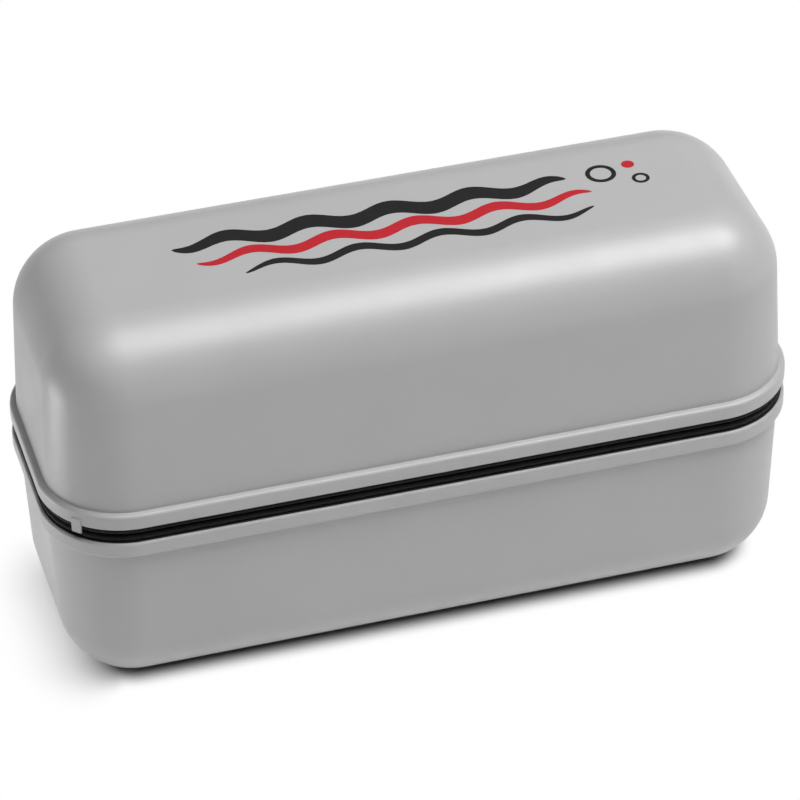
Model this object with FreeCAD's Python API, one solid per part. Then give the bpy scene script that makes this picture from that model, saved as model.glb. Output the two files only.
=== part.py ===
"""Floating magnetic glass cleaner for an aquarium: two magnet-filled housings with pads that meet through the pane.

The handle half stands on its crown with its felt pad up. The float half rests on it, pad to pad, and lifts off.
Row frame, in millimetres: origin at the centre of the base, +X along the cleaner, +Z up.
Each half is modelled in its own frame, where z = 0 is its pad's working face and +z runs to its crown.
"""

import FreeCAD, Part
import math
import os

V = FreeCAD.Vector

# Housing, the same moulding for both halves
RIM_LENGTH = 129.2
RIM_WIDTH = 49.2
RIM_CORNER = 14.6       # radius of the rim's corners, seen from above
RIM_HEIGHT = 2.9
RIM_PROUD = 1.0         # how far the rim stands out from the wall beside it
RIM_EDGE = 0.5          # rounding of the rim's two outer edges
SHELL_DEPTH = 33.7      # from the land that carries the pad to the crown
DRAFT_DEG = 2.4         # taper of the walls, so that the moulding leaves its tool
CROWN_TIGHTER = 0.3     # how much smaller the crown's rounding is than the wall corner it runs into
WALL = 2.0

# Gate vestige: the stub left on one corner of the rim where the plastic entered the mould
GATE_LENGTH = 1.8
GATE_PROUD = 0.25
GATE_DROP = 1.25        # how far it stands past the land
GATE_ANGLE_DEG = 45.0   # round the corner, from the cleaner's long axis

# Closing plate, the ledge that it seats on and the step round it for the sealant
PLATE_THICK = 2.4
LEDGE_WIDTH = 1.4
PLATE_CLEAR = 0.15
BEAD_WIDTH = 0.8
BEAD_DEPTH = 0.8

# Corners that stand on the plate and locate the magnet cradle
LOCATOR_LEG = 9.0
LOCATOR_THICK = 1.4
LOCATOR_HEIGHT = 2.6
LOCATOR_CLEAR = 0.15

# Pad and the sheet of adhesive behind it
PAD_THICK = 1.2
ADHESIVE_THICK = 0.18
PAD_INSET = 0.5         # from the rim's outer edge to the pad's edge

# Ferrite magnets, side by side in a moulded cradle under a steel plate that closes their field
MAGNET_LENGTH = 48.0
MAGNET_WIDTH = 32.0
MAGNET_CHAMFER = 0.6
MAGNET_CLEAR = 0.2
CRADLE_WALL = 1.6
CRADLE_WEB = 2.0
CRADLE_CORNER = 2.0
IRON_CORNER = 1.0
HANDLE_MAGNET_THICK = 10.0
HANDLE_IRON_THICK = 2.0
FLOAT_MAGNET_THICK = 5.5
FLOAT_IRON_THICK = 1.0

# Ribs inside the housing that hold the cradle down on the plate
RIB_THICK = 1.6
RIB_PITCH = 36.0
RIB_IRON_GAP = 0.4      # from a rib to the steel plate beside it

# Foam block between the steel plate and the crown
FOAM_CLEAR = 0.3

# Worked out from the values above
WALL_LENGTH = RIM_LENGTH - 2 * RIM_PROUD
WALL_WIDTH = RIM_WIDTH - 2 * RIM_PROUD
WALL_CORNER = RIM_CORNER - RIM_PROUD
TAPER = math.tan(math.radians(DRAFT_DEG)) * SHELL_DEPTH
LAND_Z = PAD_THICK + ADHESIVE_THICK
CROWN_Z = LAND_Z + SHELL_DEPTH
PLATE_TOP_Z = LAND_Z + PLATE_THICK
PLATE_SEAT_INSET = WALL - LEDGE_WIDTH
IRON_LENGTH = 2 * MAGNET_LENGTH + 2 * MAGNET_CLEAR + CRADLE_WEB
IRON_WIDTH = MAGNET_WIDTH
POCKET_LENGTH = MAGNET_LENGTH + 2 * MAGNET_CLEAR
POCKET_WIDTH = MAGNET_WIDTH + 2 * MAGNET_CLEAR
POCKET_X = (POCKET_LENGTH + CRADLE_WEB) / 2
CRADLE_LENGTH = 2 * POCKET_LENGTH + CRADLE_WEB + 2 * CRADLE_WALL
CRADLE_WIDTH = POCKET_WIDTH + 2 * CRADLE_WALL
PANE_Z = CROWN_Z        # height of the plane where the two pads meet


def outline(length, width, corner, z):
    """Closed wire of a rounded rectangle, centred on the z axis."""
    x = length / 2 - corner
    y = width / 2 - corner
    arcs = []
    for quarter, centre in enumerate((V(x, y, z), V(-x, y, z), V(-x, -y, z), V(x, -y, z))):
        start = quarter * math.pi / 2
        circle = Part.Circle(centre, V(0, 0, 1), corner)
        arcs.append(Part.Arc(circle, start, start + math.pi / 2).toShape())
    edges = []
    for arc, following in zip(arcs, arcs[1:] + arcs[:1]):
        edges.append(arc)
        edges.append(Part.makeLine(arc.Vertexes[-1].Point, following.Vertexes[0].Point))
    return Part.Wire(edges)


def slab(plan, z0, z1):
    """Flat block from z0 to z1 on a rounded rectangle given as length, width and corner radius."""
    return Part.Face(outline(*plan, z0)).extrude(V(0, 0, z1 - z0))


def box(length, width, x, y, z0, z1):
    """Square-cornered block from z0 to z1, centred on x and y."""
    return Part.makeBox(length, width, z1 - z0, V(x - length / 2, y - width / 2, z0))


def drawn_in(plan, inset):
    """A rounded rectangle's length, width and corner radius, less inset all round."""
    length, width, corner = plan
    return length - 2 * inset, width - 2 * inset, corner - inset


def edges_at(shape, z):
    """Edges of a shape that lie wholly in the plane at z."""
    near = 1e-4
    return [e for e in shape.Edges if abs(e.BoundBox.ZMin - z) < near and abs(e.BoundBox.ZMax - z) < near]


RIM_PLAN = (RIM_LENGTH, RIM_WIDTH, RIM_CORNER)
WALL_PLAN = (WALL_LENGTH, WALL_WIDTH, WALL_CORNER)
PLATE_SEAT_PLAN = drawn_in(WALL_PLAN, PLATE_SEAT_INSET)
PAD_PLAN = drawn_in(RIM_PLAN, PAD_INSET)
CRADLE_PLAN = (CRADLE_LENGTH, CRADLE_WIDTH, CRADLE_CORNER)
IRON_PLAN = (IRON_LENGTH, IRON_WIDTH, IRON_CORNER)


def dome(inset):
    """The housing's tapered block with its rounded crown, drawn in by inset all round and at the crown."""
    foot = drawn_in(WALL_PLAN, inset)
    crown = drawn_in(foot, TAPER)
    top = CROWN_Z - inset
    block = Part.makeLoft([outline(*foot, LAND_Z), outline(*crown, top)], True, True)
    crown_corner = crown[2]
    return block.makeFillet(crown_corner - CROWN_TIGHTER, edges_at(block, top))


def gate_stub():
    """Stub at the left front corner of the rim, reaching a little past the land."""
    depth = 2 * GATE_PROUD
    bottom = LAND_Z - GATE_DROP
    stub = box(depth, GATE_LENGTH, RIM_CORNER + GATE_PROUD - depth / 2, 0, bottom, LAND_Z + RIM_HEIGHT / 2)
    stub = stub.makeFillet(GATE_PROUD / 2, edges_at(stub, bottom))
    stub.rotate(V(), V(0, 0, 1), 180 + GATE_ANGLE_DEG)
    stub.translate(V(RIM_CORNER - RIM_LENGTH / 2, RIM_CORNER - RIM_WIDTH / 2, 0))
    return stub


def ribs(foot_z):
    """Blades from the housing's inner walls that end on the cradle at foot_z."""
    inner_x = IRON_LENGTH / 2 + RIB_IRON_GAP
    inner_y = IRON_WIDTH / 2 + RIB_IRON_GAP
    reach_x = WALL_LENGTH / 2 - inner_x
    reach_y = WALL_WIDTH / 2 - inner_y
    blades = []
    for side in (-1, 1):
        blades.append(box(reach_x, RIB_THICK, side * (inner_x + reach_x / 2), 0, foot_z, CROWN_Z))
        for x in (-RIB_PITCH, 0, RIB_PITCH):
            blades.append(box(RIB_THICK, reach_y, x, side * (inner_y + reach_y / 2), foot_z, CROWN_Z))
    return blades


def shell(rib_foot_z):
    """Moulded housing: rounded tub with a proud rim, a ledge for the plate and ribs for the cradle."""
    rim = slab(RIM_PLAN, LAND_Z, LAND_Z + RIM_HEIGHT)
    rim = rim.makeFillet(RIM_EDGE, edges_at(rim, LAND_Z) + edges_at(rim, LAND_Z + RIM_HEIGHT))
    outside = dome(0)
    blades = [blade.common(outside) for blade in ribs(rib_foot_z)]
    tub = outside.fuse([rim, gate_stub()]).cut(dome(WALL))
    mouth = slab(PLATE_SEAT_PLAN, LAND_Z, PLATE_TOP_Z)
    return tub.fuse(blades).cut(mouth).removeSplitter()


def locators():
    """Four corners of a frame on the plate, round the foot of the cradle."""
    inner = drawn_in(CRADLE_PLAN, -LOCATOR_CLEAR)
    outer = drawn_in(inner, -LOCATOR_THICK)
    top = PLATE_TOP_Z + LOCATOR_HEIGHT
    frame = slab(outer, PLATE_TOP_Z, top).cut(slab(inner, PLATE_TOP_Z, top))
    length, width, _ = outer
    frame = frame.cut(box(length - 2 * LOCATOR_LEG, width, 0, 0, PLATE_TOP_Z, top))
    return frame.cut(box(length, width - 2 * LOCATOR_LEG, 0, 0, PLATE_TOP_Z, top))


def closing_plate():
    """Flat plate that shuts the housing, with a step round its outer face for the sealant."""
    edge = drawn_in(PLATE_SEAT_PLAN, PLATE_CLEAR)
    face = slab(drawn_in(edge, BEAD_WIDTH), LAND_Z, LAND_Z + BEAD_DEPTH)
    plate = slab(edge, LAND_Z + BEAD_DEPTH, PLATE_TOP_Z)
    return plate.fuse([face, locators()]).removeSplitter()


def sealant_bead():
    """Ring of sealant in the step between the plate and the housing."""
    top = LAND_Z + BEAD_DEPTH
    filled = slab(PLATE_SEAT_PLAN, LAND_Z, top)
    return filled.cut(slab(drawn_in(PLATE_SEAT_PLAN, PLATE_CLEAR + BEAD_WIDTH), LAND_Z, top))


def magnet(side, thick):
    """Ferrite block with ground chamfers, in the pocket on that side."""
    block = box(MAGNET_LENGTH, MAGNET_WIDTH, side * POCKET_X, 0, PLATE_TOP_Z, PLATE_TOP_Z + thick)
    return block.makeChamfer(MAGNET_CHAMFER, block.Edges)


def cradle(magnet_top, iron_top):
    """Moulded frame with a pocket for each magnet and, above them, one for the steel plate."""
    frame = slab(CRADLE_PLAN, PLATE_TOP_Z, iron_top)
    for side in (-1, 1):
        frame = frame.cut(box(POCKET_LENGTH, POCKET_WIDTH, side * POCKET_X, 0, PLATE_TOP_Z, magnet_top))
    return frame.cut(box(IRON_LENGTH + 2 * MAGNET_CLEAR, POCKET_WIDTH, 0, 0, magnet_top, iron_top))


def foam_block(foot_z):
    """Closed-cell foam that fills the housing between the ribs, from the steel plate to the crown."""
    rib_gap = RIB_IRON_GAP - FOAM_CLEAR
    block = box(IRON_LENGTH + 2 * rib_gap, IRON_WIDTH + 2 * rib_gap, 0, 0, foot_z, CROWN_Z)
    return block.common(dome(WALL + FOAM_CLEAR))


def half(magnet_thick, iron_thick):
    """Every piece of one half, in its own frame."""
    magnet_top = PLATE_TOP_Z + magnet_thick
    iron_top = magnet_top + iron_thick
    return {
        "shell": shell(iron_top),
        "base_plate": closing_plate(),
        "sealant_bead": sealant_bead(),
        "pad_adhesive": slab(PAD_PLAN, PAD_THICK, LAND_Z),
        "pad": slab(PAD_PLAN, 0, PAD_THICK),
        "magnet_cradle": cradle(magnet_top, iron_top),
        "magnet_left": magnet(-1, magnet_thick),
        "magnet_right": magnet(1, magnet_thick),
        "back_iron": slab(IRON_PLAN, magnet_top, iron_top),
        "foam": foam_block(iron_top),
    }


def main():
    """Writes every piece: the handle half turned over to stand on its crown, and the float half on top of it."""
    pieces = {}
    for name, shape in half(HANDLE_MAGNET_THICK, HANDLE_IRON_THICK).items():
        shape.rotate(V(), V(1, 0, 0), 180)
        pieces["handle_" + name] = shape
    for name, shape in half(FLOAT_MAGNET_THICK, FLOAT_IRON_THICK).items():
        pieces["float_" + name] = shape
    os.makedirs("parts", exist_ok=True)
    for name, shape in pieces.items():
        shape.translate(V(0, 0, PANE_Z))
        shape.exportStep(f"parts/{name}.step")


main()
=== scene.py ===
"""Looks of the floating magnetic glass cleaner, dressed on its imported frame.

Metres, in the frame's axes: +X along the cleaner, +Z up, the handle half below and the float half on top of it.
Each half is modelled with its pad's working face at z = 0 and its crown up, and is then set in its place.
"""

import bmesh
import bpy
import math
from mathutils import Matrix, Vector, noise


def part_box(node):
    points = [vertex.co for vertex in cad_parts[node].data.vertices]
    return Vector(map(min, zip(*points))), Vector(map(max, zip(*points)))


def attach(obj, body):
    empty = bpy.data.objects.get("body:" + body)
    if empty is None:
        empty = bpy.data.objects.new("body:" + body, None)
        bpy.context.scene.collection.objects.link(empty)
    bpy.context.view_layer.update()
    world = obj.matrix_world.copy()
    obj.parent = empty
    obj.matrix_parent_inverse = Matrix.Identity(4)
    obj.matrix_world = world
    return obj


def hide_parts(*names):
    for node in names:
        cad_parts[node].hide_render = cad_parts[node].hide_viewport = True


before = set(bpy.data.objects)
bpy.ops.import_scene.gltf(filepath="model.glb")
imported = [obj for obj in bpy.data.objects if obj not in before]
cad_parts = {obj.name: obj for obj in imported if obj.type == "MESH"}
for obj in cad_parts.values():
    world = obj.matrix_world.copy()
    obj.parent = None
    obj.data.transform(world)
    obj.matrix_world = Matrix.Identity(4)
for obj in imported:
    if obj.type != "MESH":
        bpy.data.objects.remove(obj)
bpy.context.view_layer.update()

MM = 0.001

# Housing: what its box in the frame doesn't give
RIM_CORNER = 14.6 * MM
RIM_HEIGHT = 2.9 * MM
RIM_PROUD = 1.0 * MM
RIM_EDGE = 0.5 * MM
RIM_UPPER_EDGE = 0.65 * MM  # rounder than the lower edge, where the tool has been polished
WALL = 2.0 * MM
PLATE_SEAT = 1.6 * MM       # from the rim's outer edge to the recess that takes the closing plate
PLATE_THICK = 2.4 * MM
DRAFT = math.radians(2.4)
CROWN_TIGHTER = 0.3 * MM    # how much smaller the crown's rounding is than the wall corner it runs into
LEDGE_ROOT = 0.15 * MM      # small radius where the rim's ledge meets the wall
CORNER_STEPS = 20
CROWN_STEPS = 20
EDGE_STEPS = 5
SMALL_EDGE_STEPS = 3
WELD = 0.001 * MM
SHARP_ANGLE = math.radians(35)

# Stub of the gate, at the left front corner of the rim
GATE_LENGTH = 1.8 * MM
GATE_PROUD = 0.25 * MM
GATE_DROP = 1.25 * MM
GATE_ANGLE = math.radians(45)

# Felt pad of the handle half
FELT_CELL = 0.4 * MM
FELT_EDGE = 0.35 * MM
FELT_RELIEF = 0.07 * MM
FELT_CLUMP = 1.6 * MM

# Scrubbing pad of the float half: a woven backing with rows of stiff nylon hooks
BACKING_THICK = 0.75 * MM
BACKING_EDGE = 0.2 * MM
YARN = 0.45 * MM            # width of one yarn of the weave
HOOK_WIRE = 0.12 * MM       # radius of the nylon monofilament
HOOK_CROOK = 0.3 * MM       # radius of its bend
HOOK_BEND = math.radians(200)
HOOK_PITCH_X = 1.9 * MM
HOOK_PITCH_Y = 1.7 * MM
HOOK_MARGIN = 0.8 * MM      # from the outermost hooks to the pad's edge
HOOK_SIDES = 5
HOOK_BEND_STEPS = 5
HOOK_SHARP_ANGLE = math.radians(80)

# Printed waves and bubbles on the crown of the float half
INK_THICK = 0.03 * MM
WAVE_PITCH = 14.0 * MM
WAVE_RISE = 1.1 * MM
WAVE_STEPS = 160
BUBBLE_STEPS = 48

# Camera and room
CAMERA_AZIMUTH = math.radians(-15.19)
CAMERA_ELEVATION = math.radians(36.03)
CAMERA_ROLL = math.radians(1.30)
CAMERA_DISTANCE = 748.4 * MM
CAMERA_LENS_MM = 198.9
CAMERA_SHIFT = (0.0013, -0.0037)
LAMPS = (                   # name, azimuth and elevation in degrees, distance and side in metres, power in watts
    ("top_softbox", 45, 75, 1.0, 0.8, 8.5),
    ("right_softbox", 70, 60, 1.0, 0.6, 6.8),
    ("left_softbox", -45, 60, 1.0, 0.6, 1.2),
    ("left_reflector", -95, -7, 0.13, 0.038, 0.018),
)
WORLD_STRENGTH = 0.03
FLOOR_SIZE = 6.0
SHADOW_START = -9.2 * MM   # where the board starts to turn pure white, from the rim's outline
SHADOW_END = -3.3 * MM
LEFT_SHADOW = (-54 * MM, -62 * MM)      # where the paler, wider shadow beside the reflector starts, and is full
LEFT_SHADOW_END = 8.0 * MM
LEFT_SHADOW_PALE = 0.4

# Places read from the frame
shell_low, shell_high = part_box("float_shell")
pad_low, pad_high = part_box("float_pad")
PANE_Z = pad_low.z
RIM_LENGTH = shell_high.x - shell_low.x
RIM_WIDTH = shell_high.y - shell_low.y
CROWN = shell_high.z - PANE_Z
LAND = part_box("float_base_plate")[0].z - PANE_Z
PAD_INSET = (RIM_LENGTH - (pad_high.x - pad_low.x)) / 2
PAD_THICK = pad_high.z - pad_low.z
CROWN_ROUND = RIM_CORNER - RIM_PROUD - math.tan(DRAFT) * (CROWN - LAND) - CROWN_TIGHTER
FLOAT_PLACE = Matrix.Translation((0, 0, PANE_Z))
HANDLE_PLACE = FLOAT_PLACE @ Matrix.Rotation(math.pi, 4, "X")


# ---------------------------------------------------------------- colours and nodes

def srgb(hex_colour):
    """Linear colour with alpha from an sRGB hex value."""
    parts = [int(hex_colour[i:i + 2], 16) / 255 for i in (1, 3, 5)]
    linear = [c / 12.92 if c <= 0.04045 else ((c + 0.055) / 1.055) ** 2.4 for c in parts]
    return (*linear, 1.0)


def node(tree, kind, inputs=None, **settings):
    """Adds a node, sets its properties, and fills its inputs with values or with other nodes' outputs."""
    made = tree.nodes.new(kind)
    for name, value in settings.items():
        setattr(made, name, value)
    for socket, value in (inputs or {}).items():
        if isinstance(value, bpy.types.NodeSocket):
            tree.links.new(value, made.inputs[socket])
        else:
            made.inputs[socket].default_value = value
    return made


def material(name, **sockets):
    """New material with its shader's own sockets set; returns it with its tree, its shader and its coordinates."""
    made = bpy.data.materials.new(name)
    made.use_nodes = True
    tree = made.node_tree
    shader = tree.nodes["Principled BSDF"]
    for socket, value in sockets.items():
        shader.inputs[socket.replace("_", " ")].default_value = value
    place = node(tree, "ShaderNodeTexCoord").outputs["Object"]
    return made, tree, shader, place


def clouds(tree, place, size, detail=2.0, roughness=0.5, distortion=0.0):
    """Noise, from 0 to 1, with features of that size in metres."""
    settings = {
        "Vector": place, "Scale": 1 / size, "Detail": detail, "Roughness": roughness, "Distortion": distortion,
    }
    return node(tree, "ShaderNodeTexNoise", settings).outputs["Fac"]


def spread(tree, value, low, high, start=0.3, end=0.7):
    """Maps a noise value onto the range from low to high."""
    settings = {"Value": value, "From Min": start, "From Max": end, "To Min": low, "To Max": high}
    return node(tree, "ShaderNodeMapRange", settings).outputs["Result"]


def tint(tree, shader, value, dark, light):
    """Base colour that runs from dark to light with value."""
    ramp = node(tree, "ShaderNodeMix", {"Factor": value}, data_type="RGBA")
    ramp.inputs["A"].default_value = srgb(dark)
    ramp.inputs["B"].default_value = srgb(light)
    tree.links.new(ramp.outputs["Result"], shader.inputs["Base Color"])


def relief(tree, shader, height, depth, under=None):
    """Bump of that depth in metres, laid over another one where given; returns its normal."""
    settings = {"Height": height, "Distance": depth, "Strength": 1.0}
    if under is not None:
        settings["Normal"] = under
    normal = node(tree, "ShaderNodeBump", settings).outputs["Normal"]
    tree.links.new(normal, shader.inputs["Normal"])
    return normal


def stretched(tree, place, scale):
    """Coordinates scaled differently along each axis, for a pattern with a direction."""
    return node(tree, "ShaderNodeMapping", {"Vector": place, "Scale": scale}).outputs["Vector"]


# ---------------------------------------------------------------- materials

def textured_abs():
    """Moulded ABS from a spark-eroded tool: mid grey, satin, with a fine even grain and a slight waviness."""
    made, tree, shader, place = material("textured_grey_abs", IOR=1.54)
    mottle = clouds(tree, place, 14 * MM, detail=3)
    tint(tree, shader, mottle, "#A0A0A0", "#A5A5A5")
    rubbed = clouds(tree, place, 9 * MM, detail=4, roughness=0.6)
    tree.links.new(spread(tree, rubbed, 0.34, 0.42), shader.inputs["Roughness"])
    wave = relief(tree, shader, clouds(tree, place, 11 * MM, detail=1), 0.02 * MM)
    # the real grain is near 0.1 mm, and is drawn at 0.3 mm so that it shows
    relief(tree, shader, clouds(tree, place, 0.3 * MM, detail=2), 0.006 * MM, wave)
    return made


def inner_abs(name, dark, light):
    """Moulded ABS from a plain milled tool, for pieces inside: duller, with faint flow marks."""
    made, tree, shader, place = material(name, IOR=1.54)
    flow = clouds(tree, stretched(tree, place, (0.25, 1, 1)), 4 * MM, detail=3, distortion=0.6)
    tint(tree, shader, flow, dark, light)
    tree.links.new(spread(tree, flow, 0.42, 0.55), shader.inputs["Roughness"])
    relief(tree, shader, clouds(tree, place, 0.6 * MM), 0.008 * MM)
    return made


def needled_felt():
    """Black polyester felt: matt tangled fibres that catch a little light at a grazing angle."""
    made, tree, shader, place = material("needled_black_felt", IOR=1.35, Roughness=0.95, Sheen_Weight=0.08)
    shader.inputs["Sheen Roughness"].default_value = 0.6
    along = clouds(tree, stretched(tree, place, (1, 0.18, 1)), 0.35 * MM, detail=3, distortion=1.5)
    across = clouds(tree, stretched(tree, place, (0.18, 1, 1)), 0.35 * MM, detail=3, distortion=1.5)
    fibres = node(tree, "ShaderNodeMath", {0: along, 1: across}, operation="MAXIMUM").outputs["Value"]
    tint(tree, shader, spread(tree, fibres, 0, 1, 0.45, 0.75), "#030303", "#101011")
    clumps = relief(tree, shader, clouds(tree, place, FELT_CLUMP, detail=2), 0.12 * MM)
    relief(tree, shader, fibres, 0.08 * MM, clumps)
    return made


def woven_nylon():
    """Black woven nylon tape: the backing of the scrubbing pad, with a plain weave of 0.45 mm yarns."""
    made, tree, shader, place = material("woven_black_nylon", IOR=1.4, Roughness=0.8, Sheen_Weight=0.05)
    waves = []
    for axis in ("X", "Y"):
        settings = {"Vector": place, "Scale": 1 / (2 * YARN) / math.pi, "Distortion": 0.0}
        waves.append(node(tree, "ShaderNodeTexWave", settings, bands_direction=axis).outputs["Fac"])
    weave = node(tree, "ShaderNodeMath", {0: waves[0], 1: waves[1]}, operation="MULTIPLY").outputs["Value"]
    tint(tree, shader, weave, "#030303", "#0E0E0F")
    relief(tree, shader, weave, 0.1 * MM)
    return made


def nylon_hook():
    """Black nylon monofilament, heat-formed into hooks: semi-gloss with a slightly uneven skin."""
    made, tree, shader, place = material("black_nylon_monofilament", IOR=1.53)
    skin = clouds(tree, place, 0.5 * MM, detail=2)
    tint(tree, shader, skin, "#070707", "#121213")
    tree.links.new(spread(tree, skin, 0.35, 0.5), shader.inputs["Roughness"])
    relief(tree, shader, skin, 0.01 * MM)
    return made


def printing_ink(name, dark, light):
    """Two-part pad-printing ink on ABS: opaque, matt enough to stay dark under a lamp, with faint pinholes."""
    made, tree, shader, place = material(name, IOR=1.4)
    film = clouds(tree, place, 0.7 * MM, detail=3)
    tint(tree, shader, film, dark, light)
    tree.links.new(spread(tree, film, 0.6, 0.72), shader.inputs["Roughness"])
    relief(tree, shader, film, 0.004 * MM)
    return made


def sintered_ferrite():
    """Sintered strontium ferrite: a dark grey ceramic whose ground faces show fine parallel lines."""
    made, tree, shader, place = material("ground_ferrite", IOR=2.3)
    lines = clouds(tree, stretched(tree, place, (0.04, 1, 1)), 0.4 * MM, detail=4)
    tint(tree, shader, lines, "#26262A", "#3A3A3E")
    tree.links.new(spread(tree, lines, 0.45, 0.62), shader.inputs["Roughness"])
    relief(tree, shader, lines, 0.01 * MM)
    return made


def plated_steel():
    """Cold-rolled steel with bright zinc plating: metallic, with a faint rolling grain and a bluish cast."""
    made, tree, shader, place = material("zinc_plated_steel", Metallic=1.0)
    rolled = clouds(tree, stretched(tree, place, (0.05, 1, 1)), 0.8 * MM, detail=4)
    tint(tree, shader, rolled, "#B4B8BC", "#CDD0D3")
    tree.links.new(spread(tree, rolled, 0.28, 0.42), shader.inputs["Roughness"])
    relief(tree, shader, rolled, 0.006 * MM)
    return made


def closed_cell_foam():
    """White closed-cell polyethylene foam, sawn to size: matt, with 1 mm cells open at the cut faces."""
    made, tree, shader, place = material("white_polyethylene_foam", IOR=1.5, Roughness=0.9)
    cells = node(tree, "ShaderNodeTexVoronoi", {"Vector": place, "Scale": 1 / (1.0 * MM)}).outputs["Distance"]
    tint(tree, shader, cells, "#D9D9D6", "#F0F0EE")
    relief(tree, shader, cells, 0.25 * MM)
    return made


def silicone():
    """Cured neutral silicone: translucent, soft gloss, with slight ripples where it was tooled."""
    made, tree, shader, place = material("neutral_silicone", IOR=1.41, Transmission_Weight=0.3)
    ripple = clouds(tree, place, 2.5 * MM)
    tint(tree, shader, ripple, "#C2C2BC", "#D2D2CC")
    tree.links.new(spread(tree, ripple, 0.3, 0.4), shader.inputs["Roughness"])
    relief(tree, shader, ripple, 0.05 * MM)
    return made


def foam_adhesive():
    """Black acrylic foam adhesive: a matt rubbery sheet with fine cells."""
    made, tree, shader, place = material("black_acrylic_foam_adhesive", IOR=1.47)
    cells = clouds(tree, place, 0.4 * MM, detail=2)
    tint(tree, shader, cells, "#060606", "#0F0F0F")
    tree.links.new(spread(tree, cells, 0.6, 0.75), shader.inputs["Roughness"])
    relief(tree, shader, cells, 0.03 * MM)
    return made


# ---------------------------------------------------------------- shapes

def depth_inside(point, inset=0.0):
    """How far a point lies inside the rim's outline, drawn in by inset, seen from above."""
    corner = RIM_CORNER - inset
    x = abs(point.x) - (RIM_LENGTH / 2 - RIM_CORNER)
    y = abs(point.y) - (RIM_WIDTH / 2 - RIM_CORNER)
    return corner - math.hypot(max(x, 0), max(y, 0)) - min(max(x, y), 0)


def plan_face(bm, inset, z):
    """Face with rounded corners at height z: the rim's outline drawn in by inset."""
    verts = bmesh.ops.create_grid(bm, x_segments=1, y_segments=1, size=0.5)["verts"]
    face = verts[0].link_faces[0]
    bmesh.ops.scale(bm, verts=verts, vec=(RIM_LENGTH - 2 * inset, RIM_WIDTH - 2 * inset, 1))
    bmesh.ops.translate(bm, verts=verts, vec=(0, 0, z))
    rounded = bmesh.ops.bevel(
        bm, geom=verts, affect="VERTICES", offset=RIM_CORNER - inset, offset_type="OFFSET",
        segments=CORNER_STEPS, profile=0.5, material=-1, clamp_overlap=False,
    )
    return face if face.is_valid else rounded["verts"][0].link_faces[0]


def raise_skin(bm, levels):
    """Skin that climbs from level to level, each a depth inside the rim's outline and a height, and closes on top."""
    inset, z = levels[0]
    face = plan_face(bm, inset, z)
    if face.normal.z < 0:
        face.normal_flip()
    for next_inset, next_z in levels[1:]:
        bmesh.ops.inset_region(
            bm, faces=[face], thickness=next_inset - inset, depth=next_z - z,
            use_even_offset=True, use_boundary=True,
        )
        inset, z = next_inset, next_z


def arc_levels(inset, z, radius, start, end, steps):
    """Levels along an arc about a centre, from the start angle to the end angle; 0 points outward, 90 degrees up."""
    levels = []
    for step in range(steps + 1):
        angle = math.radians(start + (end - start) * step / steps)
        levels.append((inset - radius * math.cos(angle), z + radius * math.sin(angle)))
    return levels


def dome_levels(inset, top, radius):
    """Levels over the crown's rounding, from the tapered wall that starts at that depth at the land to the flat."""
    centre_z = top - radius
    centre_inset = inset + math.tan(DRAFT) * (centre_z - LAND) + radius / math.cos(DRAFT)
    return arc_levels(centre_inset, centre_z, radius, math.degrees(DRAFT), 90, CROWN_STEPS)


def wall_at(inset, z):
    """Depth of the tapered wall inside the rim's outline at height z, given its depth at the land."""
    return inset + math.tan(DRAFT) * (z - LAND)


def sharpen(bm, limit=SHARP_ANGLE):
    """Smooth shading, but for the edges that turn by more than limit."""
    for face in bm.faces:
        face.smooth = True
    for edge in bm.edges:
        edge.smooth = len(edge.link_faces) == 2 and edge.calc_face_angle() < limit


def finish_piece(bm, name, place, *materials):
    """New object from a bmesh, with its place in its mesh."""
    bmesh.ops.transform(bm, matrix=place, verts=bm.verts)
    mesh = bpy.data.meshes.new(name)
    bm.to_mesh(mesh)
    bm.free()
    piece = bpy.data.objects.new(name, mesh)
    bpy.context.scene.collection.objects.link(piece)
    for given in materials:
        mesh.materials.append(given)
    return piece


def gate_stub(bm):
    """Stub left by the gate on the rim's left front corner, standing a little past the land."""
    verts = bmesh.ops.create_cube(bm, size=1)["verts"]
    height = GATE_DROP + RIM_HEIGHT / 2
    bmesh.ops.scale(bm, verts=verts, vec=(2 * GATE_PROUD, GATE_LENGTH, height))
    bmesh.ops.translate(bm, verts=verts, vec=(RIM_CORNER, 0, LAND - GATE_DROP + height / 2))
    edges = list({e for v in verts for e in v.link_edges})
    rounded = bmesh.ops.bevel(
        bm, geom=edges, affect="EDGES", offset=GATE_PROUD / 2, segments=SMALL_EDGE_STEPS, profile=0.5,
        material=-1,
    )
    corner = Matrix.Translation((RIM_CORNER - RIM_LENGTH / 2, RIM_CORNER - RIM_WIDTH / 2, 0))
    turned = corner @ Matrix.Rotation(math.pi + GATE_ANGLE, 4, "Z")
    verts = list({v for f in rounded["faces"] for v in f.verts} | {v for v in verts if v.is_valid})
    bmesh.ops.transform(bm, matrix=turned, verts=verts)


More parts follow.
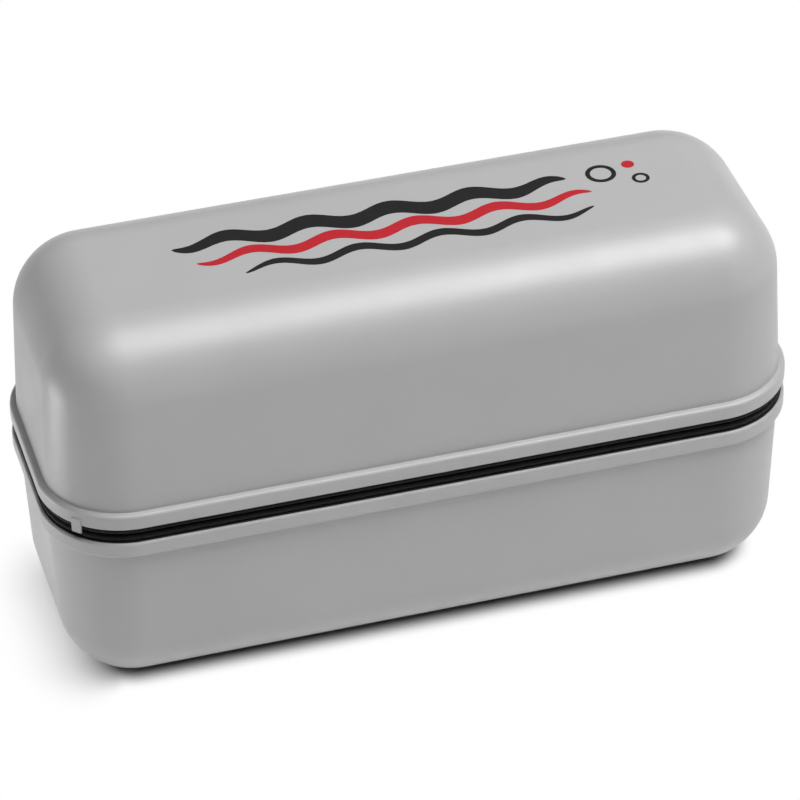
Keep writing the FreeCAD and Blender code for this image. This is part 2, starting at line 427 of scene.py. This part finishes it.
def housing(name, place, finish):
    """Moulded housing: proud rim with eased edges, tapered walls, rounded crown, and the hollow inside."""
    bm = bmesh.new()
    rim_top = LAND + RIM_HEIGHT
    root = wall_at(RIM_PROUD, rim_top) - LEDGE_ROOT
    rim_upper_edge = arc_levels(RIM_UPPER_EDGE, rim_top - RIM_UPPER_EDGE, RIM_UPPER_EDGE, 0, 90, EDGE_STEPS)
    ledge_root = arc_levels(root, rim_top + LEDGE_ROOT, LEDGE_ROOT, -90, -180, EDGE_STEPS)
    rim_lower_edge = arc_levels(RIM_EDGE, LAND + RIM_EDGE, RIM_EDGE, 0, -90, EDGE_STEPS)
    outside = rim_lower_edge[:1] + rim_upper_edge + ledge_root
    raise_skin(bm, outside + dome_levels(RIM_PROUD, CROWN, CROWN_ROUND))
    plate_top = LAND + PLATE_THICK
    inner_foot = wall_at(RIM_PROUD + WALL, plate_top)
    inside = rim_lower_edge + [(PLATE_SEAT, LAND), (PLATE_SEAT, plate_top), (inner_foot, plate_top)]
    raise_skin(bm, inside + dome_levels(RIM_PROUD + WALL, CROWN - WALL, CROWN_ROUND - WALL))
    rim = {v for e in bm.edges if e.is_boundary for v in e.verts}
    bmesh.ops.remove_doubles(bm, verts=list(rim), dist=WELD)
    bmesh.ops.recalc_face_normals(bm, faces=bm.faces)
    gate_stub(bm)
    sharpen(bm)
    piece = finish_piece(bm, name, place, finish)
    even = piece.modifiers.new("even_shading", "WEIGHTED_NORMAL")
    even.keep_sharp = True
    return piece


def slab(bm, inset, z0, z1, edge):
    """Flat block with the rim's plan drawn in by inset, from z0 to z1, with rounded edges."""
    raise_skin(bm, [(inset, z0), (inset, z1)])
    bmesh.ops.holes_fill(bm, edges=[e for e in bm.edges if e.is_boundary])
    bmesh.ops.recalc_face_normals(bm, faces=bm.faces)
    level = [e for e in bm.edges if abs(e.verts[0].co.z - e.verts[1].co.z) < z1 - z0]
    bmesh.ops.bevel(
        bm, geom=level, affect="EDGES", offset=edge, segments=SMALL_EDGE_STEPS, profile=0.5, material=-1,
    )


def applied(piece):
    """The piece, with its modifiers made real in its mesh."""
    bpy.context.view_layer.update()
    mesh = bpy.data.meshes.new_from_object(piece.evaluated_get(bpy.context.evaluated_depsgraph_get()))
    piece.modifiers.clear()
    piece.data = mesh
    return piece


def felt_pad(finish):
    """Needled felt sheet with soft edges and a slightly uneven face."""
    bm = bmesh.new()
    slab(bm, PAD_INSET, 0, PAD_THICK, FELT_EDGE)
    piece = finish_piece(bm, "felt_pad", Matrix.Identity(4), finish)
    cells = piece.modifiers.new("even_cells", "REMESH")
    cells.mode = "VOXEL"
    cells.voxel_size = FELT_CELL
    applied(piece)
    bm = bmesh.new()
    bm.from_mesh(piece.data)
    bm.normal_update()
    for vert in bm.verts:
        tuft = noise.fractal(vert.co / FELT_CLUMP, 1.0, 2.0, 3)
        vert.co -= vert.normal * FELT_RELIEF * (1 + tuft)
    bmesh.ops.transform(bm, matrix=HANDLE_PLACE, verts=bm.verts)
    for face in bm.faces:
        face.smooth = True
    bm.to_mesh(piece.data)
    bm.free()
    return piece


def scrub_backing(finish):
    """Woven backing of the scrubbing pad."""
    bm = bmesh.new()
    slab(bm, PAD_INSET, PAD_THICK - BACKING_THICK, PAD_THICK, BACKING_EDGE)
    sharpen(bm)
    return finish_piece(bm, "scrub_pad_backing", FLOAT_PLACE, finish)


def hook(bm):
    """One bent monofilament: a stem that stands in the backing and a crook that touches the working face."""
    root = PAD_THICK - BACKING_THICK / 2
    crook = HOOK_CROOK + HOOK_WIRE
    ring = bmesh.ops.create_circle(bm, cap_ends=True, segments=HOOK_SIDES, radius=HOOK_WIRE)["verts"]
    bmesh.ops.translate(bm, verts=ring, vec=(HOOK_CROOK, 0, root))
    start = ring[0].link_faces[0]
    made = bmesh.ops.extrude_face_region(bm, geom=[start], use_keep_orig=True)["geom"]
    end = [g for g in made if isinstance(g, bmesh.types.BMFace)]
    bmesh.ops.translate(bm, verts=end[0].verts, vec=(0, 0, crook - root))
    bmesh.ops.spin(
        bm, geom=end, cent=(0, 0, crook), axis=(0, 1, 0), dvec=(0, 0, 0),
        angle=HOOK_BEND, steps=HOOK_BEND_STEPS, use_merge=False, use_duplicate=False,
    )
    # the face between stem and crook lies inside the wire
    inner = [f for f in bm.faces if all(len(e.link_faces) > 2 for e in f.edges)]
    bmesh.ops.delete(bm, geom=inner, context="FACES_ONLY")


def scrub_hooks(finish):
    """Rows of nylon hooks over the backing; every other row is staggered and faces the other way."""
    bm = bmesh.new()
    hook(bm)
    hook_size = len(bm.verts)
    other = bmesh.ops.duplicate(bm, geom=bm.verts[:] + bm.edges[:] + bm.faces[:])["geom"]
    other = [g for g in other if isinstance(g, bmesh.types.BMVert)]
    turned = Matrix.Translation((HOOK_PITCH_X / 2, HOOK_PITCH_Y, 0)) @ Matrix.Rotation(math.pi, 4, "Z")
    bmesh.ops.transform(bm, matrix=turned, verts=other)
    bmesh.ops.recalc_face_normals(bm, faces=bm.faces)
    columns = int(RIM_LENGTH / HOOK_PITCH_X)
    row_pairs = int(RIM_WIDTH / HOOK_PITCH_Y / 2)
    first = Vector(((1 - columns) * HOOK_PITCH_X / 2, (0.5 - row_pairs) * HOOK_PITCH_Y, 0))
    piece = finish_piece(bm, "scrub_pad_hooks", Matrix.Translation(first), finish)
    repeats = (
        ("columns", columns, (HOOK_PITCH_X, 0, 0)),
        ("row_pairs", row_pairs, (0, 2 * HOOK_PITCH_Y, 0)),
    )
    for name, count, step in repeats:
        rows = piece.modifiers.new(name, "ARRAY")
        rows.count = count
        rows.use_relative_offset = False
        rows.use_constant_offset = True
        rows.constant_offset_displace = step
    applied(piece)
    bm = bmesh.new()
    bm.from_mesh(piece.data)
    bm.verts.ensure_lookup_table()
    outside = []
    for start in range(0, len(bm.verts), hook_size):
        verts = bm.verts[start:start + hook_size]
        if min(depth_inside(v.co) for v in verts) < PAD_INSET + HOOK_MARGIN:
            outside += verts
    bmesh.ops.delete(bm, geom=outside, context="VERTS")
    bmesh.ops.transform(bm, matrix=FLOAT_PLACE, verts=bm.verts)
    sharpen(bm, HOOK_SHARP_ANGLE)
    bm.to_mesh(piece.data)
    bm.free()
    return piece


def printed(bm, name, finish):
    """Ink film on the float half's crown, from a flat shape at z = 0."""
    bmesh.ops.recalc_face_normals(bm, faces=bm.faces)
    piece = finish_piece(bm, name, Matrix.Translation((0, 0, PANE_Z + CROWN)), finish)
    film = piece.modifiers.new("film", "SOLIDIFY")
    film.thickness = INK_THICK
    film.offset = 1
    return piece


def wave(bm, centre, length, width):
    """Wavy stripe that tapers to a point at both ends."""
    verts = bmesh.ops.create_grid(bm, x_segments=WAVE_STEPS, y_segments=2, size=0.5)["verts"]
    for vert in verts:
        along = 2 * vert.co.x
        vert.co.y *= width * math.sqrt(max(1 - along ** 4, 0))
        vert.co.x *= length
        vert.co.y += WAVE_RISE * math.sin(2 * math.pi * vert.co.x / WAVE_PITCH)
    bmesh.ops.translate(bm, verts=verts, vec=centre)
    bmesh.ops.remove_doubles(bm, verts=verts, dist=WELD)


def bubble(bm, centre, radius, line):
    """Ring of that outer radius and line width, or a full disc where line is None."""
    verts = bmesh.ops.create_circle(bm, cap_ends=True, segments=BUBBLE_STEPS, radius=radius)["verts"]
    bmesh.ops.translate(bm, verts=verts, vec=centre)
    if line is not None:
        middle = verts[0].link_faces[0]
        bmesh.ops.inset_region(bm, faces=[middle], thickness=line, use_even_offset=True, use_boundary=True)
        bmesh.ops.delete(bm, geom=[middle], context="FACES")


# ---------------------------------------------------------------- room

def camera(target):
    """Long-lens camera, turned, tilted and rolled about the point where the two pads meet."""
    a, e, r = CAMERA_AZIMUTH, CAMERA_ELEVATION, CAMERA_ROLL
    right = Vector((math.cos(a), math.sin(a), 0))
    back = Vector((math.sin(a) * math.cos(e), -math.cos(a) * math.cos(e), math.sin(e)))
    up = back.cross(right)
    turned_right = math.cos(r) * right - math.sin(r) * up
    turned_up = math.sin(r) * right + math.cos(r) * up
    data = bpy.data.cameras.new("camera")
    data.lens = CAMERA_LENS_MM
    data.sensor_width = 36
    data.shift_x, data.shift_y = CAMERA_SHIFT
    data.clip_start = 0.01
    made = bpy.data.objects.new("camera", data)
    turn = Matrix((turned_right, turned_up, back)).transposed().to_4x4()
    made.matrix_world = Matrix.Translation(target + back * CAMERA_DISTANCE) @ turn
    bpy.context.scene.collection.objects.link(made)
    bpy.context.scene.camera = made


def softbox(name, azimuth, elevation, distance, size, power):
    """Square lamp with a white diffuser, aimed at the cleaner from that direction."""
    a, e = math.radians(azimuth), math.radians(elevation)
    back = Vector((math.sin(a) * math.cos(e), -math.cos(a) * math.cos(e), math.sin(e)))
    data = bpy.data.lights.new(name, "AREA")
    data.size = size
    data.energy = power
    made = bpy.data.objects.new(name, data)
    made.location = Vector((0, 0, PANE_Z)) + back * distance
    made.rotation_euler = back.to_track_quat("Z", "Y").to_euler()
    bpy.context.scene.collection.objects.link(made)


def white_board():
    """Matt white paper board, shown pure white past the cleaner's own shadow, also in reflections.

    The shadow fades out with the distance from the cleaner's plan outline, more slowly beyond its left end; over the
    same distance the board's own colour is painted darker, down to mid grey, as a painted contact shadow near and
    under the cleaner.
    """
    made, tree, shader, place = material("matt_white_board", IOR=1.45, Roughness=0.9)
    core = (RIM_LENGTH / 2 - RIM_CORNER, RIM_WIDTH / 2 - RIM_CORNER, 0)
    folded = node(tree, "ShaderNodeVectorMath", {0: place}, operation="ABSOLUTE").outputs["Vector"]
    past = node(tree, "ShaderNodeVectorMath", {0: folded, 1: core}, operation="SUBTRACT").outputs["Vector"]
    past = node(tree, "ShaderNodeVectorMath", {0: past, 1: (0, 0, 0)}, operation="MAXIMUM").outputs["Vector"]
    away = node(tree, "ShaderNodeVectorMath", {0: past}, operation="LENGTH").outputs["Value"]
    along = node(tree, "ShaderNodeSeparateXYZ", {"Vector": place}).outputs["X"]
    left = spread(tree, along, 0, 1, *LEFT_SHADOW)
    widen = spread(tree, left, RIM_CORNER + SHADOW_END, RIM_CORNER + LEFT_SHADOW_END, 0, 1)
    settings = {
        "Value": away, "From Min": RIM_CORNER + SHADOW_START, "From Max": widen,
        "To Min": spread(tree, left, 0, LEFT_SHADOW_PALE, 0, 1),
    }
    fade = node(tree, "ShaderNodeMapRange", settings, interpolation_type="SMOOTHSTEP").outputs["Result"]
    fibre = spread(tree, clouds(tree, place, 2 * MM, detail=3), 0.96, 1.0)
    fibre_and_painted_shade = node(tree, "ShaderNodeMath", {0: fade, 1: fibre}, operation="MULTIPLY").outputs["Value"]
    # painted contact shadow: the board's colour goes to mid grey near and under the cleaner, times the paper's faint
    # fibre
    tint(tree, shader, fibre_and_painted_shade, "#9A9A9A", "#FAFAFA")
    rays = node(tree, "ShaderNodeLightPath").outputs
    seen = node(tree, "ShaderNodeMath", {0: rays["Is Camera Ray"], 1: rays["Is Glossy Ray"]}, operation="ADD")
    seen = node(tree, "ShaderNodeMath", {0: seen.outputs["Value"], 1: rays["Is Transmission Ray"]}, operation="ADD")
    shown = node(tree, "ShaderNodeMath", {0: seen.outputs["Value"], 1: fade}, operation="MULTIPLY", use_clamp=True)
    white = node(tree, "ShaderNodeEmission", {"Color": (1, 1, 1, 1), "Strength": 1.0}).outputs["Emission"]
    settings = {0: shown.outputs["Value"], 1: shader.outputs["BSDF"], 2: white}
    mixed = node(tree, "ShaderNodeMixShader", settings).outputs["Shader"]
    tree.links.new(mixed, tree.nodes["Material Output"].inputs["Surface"])
    return made


def floor(finish):
    """Board that the cleaner stands on, large enough to fill the view from any side."""
    bm = bmesh.new()
    bmesh.ops.create_grid(bm, x_segments=1, y_segments=1, size=FLOOR_SIZE)
    finish_piece(bm, "floor", Matrix.Identity(4), finish)


def surround(strength):
    """Even white light from all round."""
    world = bpy.data.worlds.new("white_room")
    bpy.context.scene.world = world
    world.use_nodes = True
    background = world.node_tree.nodes["Background"]
    background.inputs["Color"].default_value = (1, 1, 1, 1)
    background.inputs["Strength"].default_value = strength


# ---------------------------------------------------------------- assembly

grey = textured_abs()
for half_name, place in (("handle", HANDLE_PLACE), ("float", FLOAT_PLACE)):
    piece = housing(half_name + "_housing", place, grey)
    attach(piece, half_name + "_half")
    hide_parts(half_name + "_shell")

pad = felt_pad(needled_felt())
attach(pad, "handle_half")
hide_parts("handle_pad")

backing = scrub_backing(woven_nylon())
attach(backing, "float_half")
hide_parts("float_pad")

hooks = scrub_hooks(nylon_hook())
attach(hooks, "float_half")

black_art = bmesh.new()
wave(black_art, (-3 * MM, 4.2 * MM, 0), 68 * MM, 3.8 * MM)
wave(black_art, (3 * MM, -5.4 * MM, 0), 60 * MM, 2.0 * MM)
bubble(black_art, (37 * MM, 4.4 * MM, 0), 2.6 * MM, 0.8 * MM)
bubble(black_art, (43 * MM, 1.2 * MM, 0), 1.5 * MM, 0.6 * MM)
red_art = bmesh.new()
wave(red_art, (0 * MM, -0.8 * MM, 0), 68 * MM, 2.6 * MM)
bubble(red_art, (42.2 * MM, 5.8 * MM, 0), 1.1 * MM, None)
for art, name, ink in (
    (black_art, "crown_print_black", printing_ink("black_pad_printing_ink", "#0E0E0E", "#161616")),
    (red_art, "crown_print_red", printing_ink("red_pad_printing_ink", "#9E1520", "#AB1A26")),
):
    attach(printed(art, name, ink), "float_half")

inner_finishes = {
    "base_plate": inner_abs("plain_grey_abs", "#8C8C8C", "#949494"),
    "magnet_cradle": inner_abs("plain_black_abs", "#131313", "#1B1B1B"),
    "sealant_bead": silicone(),
    "pad_adhesive": foam_adhesive(),
    "magnet_left": sintered_ferrite(),
    "back_iron": plated_steel(),
    "foam": closed_cell_foam(),
}
inner_finishes["magnet_right"] = inner_finishes["magnet_left"]
for part_name, finish in inner_finishes.items():
    for half_name in ("handle", "float"):
        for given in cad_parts[half_name + "_" + part_name].material_slots:
            given.material = finish

floor(white_board())
surround(WORLD_STRENGTH)
for lamp in LAMPS:
    softbox(*lamp)
camera(Vector((0, 0, PANE_Z)))
bpy.context.scene.view_settings.view_transform = "Standard"
